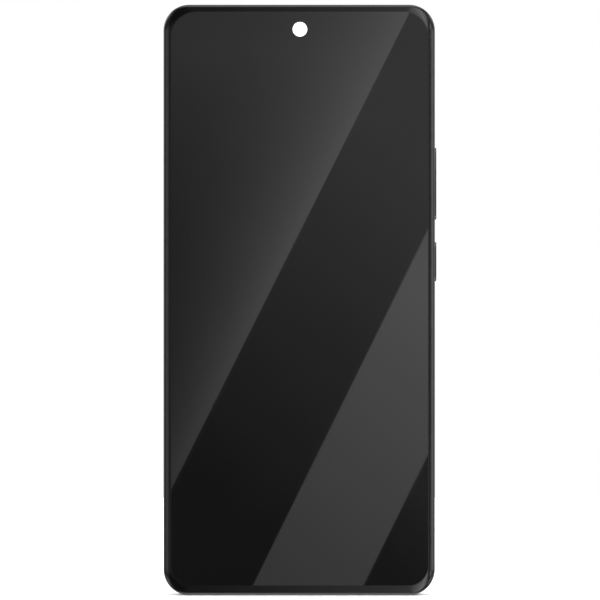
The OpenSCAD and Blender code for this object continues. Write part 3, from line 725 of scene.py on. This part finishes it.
def band_light(ends):
    """Light whose tone falls evenly down the diagonal."""
    (start, first), (end, last) = ends
    parts = [k / BAND_STEPS for k in range(BAND_STEPS + 1)]
    stops = tones([(start + (end - start) * part, first + (last - first) * part) for part in parts])

    def light(t, x, z):
        down = t.math("SUBTRACT", DIAGONAL_TOP, t.math("ADD", z, t.math("MULTIPLY", x, SLANT)))
        return t.curve(down, stops)
    return light


def left_light(t, x, z):
    """The left panel glows along line A and fades away from it, more quickly low down."""
    distance = t.math("SUBTRACT", t.math("ADD", t.math("MULTIPLY", z, LINE_A[1]), LINE_A[0]), x)
    width = t.curve(z, ((50, 11.0), (150, 21.0)))
    far = t.curve(z, tones([(h, 20 + 23 * (h / 150) ** 3) for h in range(30, 151, 15)]))
    edge = t.curve(z, tones([(h, 77 - 27 * ((140 - h) / 112) ** 1.6) for h in range(28, 141, 14)]))
    fade = t.math("POWER", math.e, t.math("MULTIPLY", t.math("DIVIDE", distance, width), -1.0))
    return t.mix(fade, far, edge)


def reflector(name, corners, light):
    """Flat glowing panel of the wall, seen only in mirror images; its own units are mm on the screen."""
    bm = bmesh.new()
    bm.faces.new(ring_of(bm, [(x, 0, z) for x, z in corners]))
    glow = bpy.data.materials.new(name)
    glow.use_nodes = True
    t = Tree(glow.node_tree)
    axes = t.node("ShaderNodeSeparateXYZ", {0: t.place()})
    shade = t.node("ShaderNodeEmission", {"Strength": light(t, axes.outputs[0], axes.outputs[2])})
    t.tree.links.new(shade.outputs[0], t.node("ShaderNodeOutputMaterial").inputs["Surface"])
    made = mesh_object(name, bm, glow)
    made.scale = (WALL_SPREAD * MM,) * 3
    side, _, height = camera.location * (1 - WALL_SPREAD)
    made.location = (side, WALL_Y, height)
    made.visible_camera = False
    made.visible_diffuse = False
    made.visible_shadow = False
    made.visible_transmission = False


def make_wall():
    """Reflector wall behind the camera: a dim wall, a bright band across it and a glow at the left."""
    def edge(line, z):
        return (line[0] + line[1] * z, z)

    low, high = WALL_LOW, WALL_HIGH
    corner = (-WALL_X, (-WALL_X - LINE_A[0]) / LINE_A[1])
    reflector("wall_left", [corner, edge(LINE_A, high), (-WALL_X, high)], left_light)
    for name, near, far in (("wall_middle", LINE_A, LINE_B), ("wall_band", LINE_B, LINE_C)):
        reflector(name, [edge(near, low), edge(far, low), edge(far, high), edge(near, high)],
                  band_light(BAND_ENDS[name]))
    corner = (WALL_X, (WALL_X - LINE_C[0]) / LINE_C[1])
    reflector("wall_right", [edge(LINE_C, low), (WALL_X, low), corner],
              band_light(BAND_ENDS["wall_right"]))


SOFT_LIGHT = 2.3               # strength of the even light that matt surfaces get


def make_world():
    """White to the camera and for soft light. Mirror images see a dim studio: a glow above and below
    that grows to the right, bright soft lights at the upper and lower right, and grey sides."""
    world = bpy.data.worlds.new("studio")
    bpy.context.scene.world = world
    world.use_nodes = True
    t = Tree(world.node_tree)
    ray = t.node("ShaderNodeLightPath")
    axes = t.node("ShaderNodeSeparateXYZ", {0: t.node("ShaderNodeTexCoord").outputs["Generated"]})
    across, along, up = axes.outputs
    tilt = t.math("ABSOLUTE", up)
    level = t.curve(across, ((-0.98, 0.24), (-0.78, 0.40), (-0.46, 0.34), (-0.3, 0.40), (-0.07, 0.55),
                             (-0.02, 0.45), (0.03, 0.10), (0.28, 0.12), (0.66, 0.74), (0.9, 0.98),
                             (1.0, 0.62)))
    tilted = t.curve(across, ((-0.8, 0.15), (-0.4, 0.08), (-0.10, 0.06), (-0.03, 0.22), (0.0, 0.45),
                              (0.03, 0.75), (0.08, 1.8), (0.2, 3.8), (0.35, 1.8), (0.6, 0.3)))
    far_floor = t.math("MULTIPLY", t.curve(t.math("ABSOLUTE", across), ((0.45, 0.0), (0.6, 1.0))),
                       t.curve(up, ((-0.6, 1.0), (-0.25, 0.0))))
    steep = t.curve(across, ((-0.5, 0.10), (-0.2, 0.95), (0.2, 1.0), (0.5, 0.25)))
    behind = t.curve(across, ((-0.95, 0.3), (-0.8, 1.6), (-0.6, 1.4), (-0.45, 0.2), (0.0, 0.35),
                              (0.45, 0.2), (0.6, 0.45), (0.8, 1.4), (0.95, 0.4)))
    rise = t.curve(up, ((-0.6, 0.5), (0.0, 0.8), (0.3, 1.1), (0.6, 1.6), (0.9, 1.2)))
    front = t.mix(t.curve(tilt, ((0.10, 0.0), (0.17, 1.0))), level, tilted)
    front = t.mix(far_floor, front, 0.9)
    studio = t.mix(t.curve(along, ((-0.1, 0.0), (0.35, 1.0))), front, t.math("MULTIPLY", behind, rise))
    studio = t.mix(t.curve(tilt, ((0.5, 0.0), (0.75, 1.0))), studio, steep)
    dim = t.node("ShaderNodeBackground", {"Strength": studio})
    soft = t.node("ShaderNodeBackground", {"Color": (1, 1, 1), "Strength": SOFT_LIGHT})
    seen = t.node("ShaderNodeBackground", {"Color": (1, 1, 1), "Strength": 1.0})
    mixed = t.node("ShaderNodeMixShader", {0: ray.outputs["Is Glossy Ray"], 1: soft.outputs[0],
                                           2: dim.outputs[0]})
    mixed = t.node("ShaderNodeMixShader", {0: ray.outputs["Is Camera Ray"], 1: mixed.outputs[0],
                                           2: seen.outputs[0]})
    t.tree.links.new(mixed.outputs[0], t.node("ShaderNodeOutputWorld").inputs["Surface"])


def make_floor():
    """Plain pale floor under the phone."""
    bm = bmesh.new()
    bmesh.ops.create_grid(bm, x_segments=8, y_segments=8, size=0.45)
    made = mesh_object("floor", bm, surface("floor_white", (0.80, 0.80, 0.80), (0.82, 0.82, 0.82),
                                            (0.6, 0.7), grain=40, Specular_IOR_Level=0.0))
    made.location = (0, 0, BODY_LOW[2] - 0.02 * MM)
    made.visible_glossy = False


make_wall()
make_world()
make_floor()

bpy.context.scene.view_settings.view_transform = "Standard"
